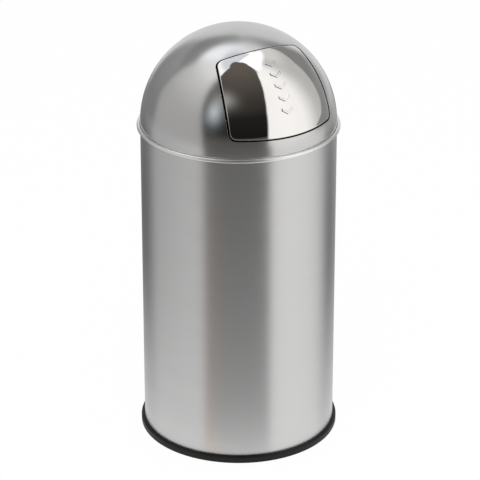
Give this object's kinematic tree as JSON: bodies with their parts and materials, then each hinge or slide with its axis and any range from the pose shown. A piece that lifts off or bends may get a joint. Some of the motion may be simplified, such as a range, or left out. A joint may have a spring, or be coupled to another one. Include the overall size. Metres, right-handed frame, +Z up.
{
  "type": "dome top waste receptacle",
  "caption": "Round free-standing waste bin: brushed steel shell on a black base ring, galvanised inner bucket with a bail, lift-off dome with a polished spring-closed push flap.",
  "frame": {"origin": "on the floor, on the axis of the cylinder", "axes": "+Z up along the cylinder's axis, -Y towards the push flap, +X to the right of someone who stands in front of the flap and looks at it"},
  "size_m": [0.348, 0.348, 0.7398],
  "materials": {
    "brushed_steel": "brushed stainless steel",
    "polished_steel": "mirror-polished stainless steel",
    "plain_steel": "plain zinc-plated steel",
    "galvanised_steel": "galvanised sheet steel with a soft spangle",
    "spring_steel": "oiled spring steel",
    "black_rubber": "matt black moulded rubber"
  },
  "bodies": {
    "body": {"base_ring": "black_rubber", "base_plate": "plain_steel", "body_shell": "brushed_steel"},
    "liner": {"bucket": "galvanised_steel", "bail_ear_right": "galvanised_steel", "bail_ear_left": "galvanised_steel", "ear_rivet_right_front": "plain_steel", "ear_rivet_right_rear": "plain_steel", "ear_rivet_left_front": "plain_steel", "ear_rivet_left_rear": "plain_steel"},
    "bail": {"bail_handle": "plain_steel"},
    "dome": {"dome_shell": "brushed_steel", "dome_collar": "plain_steel", "hinge_bracket": "plain_steel", "hinge_pin": "plain_steel", "pin_washer_right": "spring_steel", "pin_washer_left": "spring_steel", "return_spring_right": "spring_steel", "return_spring_left": "spring_steel"},
    "flap": {"push_flap": "polished_steel", "flap_lugs": "plain_steel", "stop_bar": "plain_steel", "closing_buffer_right": "black_rubber", "closing_buffer_left": "black_rubber"}
  },
  "joints": [
    {"name": "liner_lift", "type": "slide", "parent": "body", "child": "liner", "axis": [0, 0, 1], "range_m": [0, 0.56]},
    {"name": "bail_swing", "type": "hinge", "parent": "liner", "child": "bail", "pos_m": [0, 0, 0.5071], "axis": [1, 0, 0], "range_deg": [0, 216]},
    {"name": "dome_lift", "type": "slide", "parent": "liner", "child": "dome", "axis": [0, 0, 1], "range_m": [0, 0.25]},
    {"name": "flap_hinge", "type": "hinge", "parent": "dome", "child": "flap", "pos_m": [0, -0.05026, 0.70993], "axis": [1, 0, 0], "range_deg": [0, 62], "stiffness_Nm_per_rad": 0.22, "springref_deg": -120.32, "deforming": ["return_spring_right", "return_spring_left"]}
  ]
}
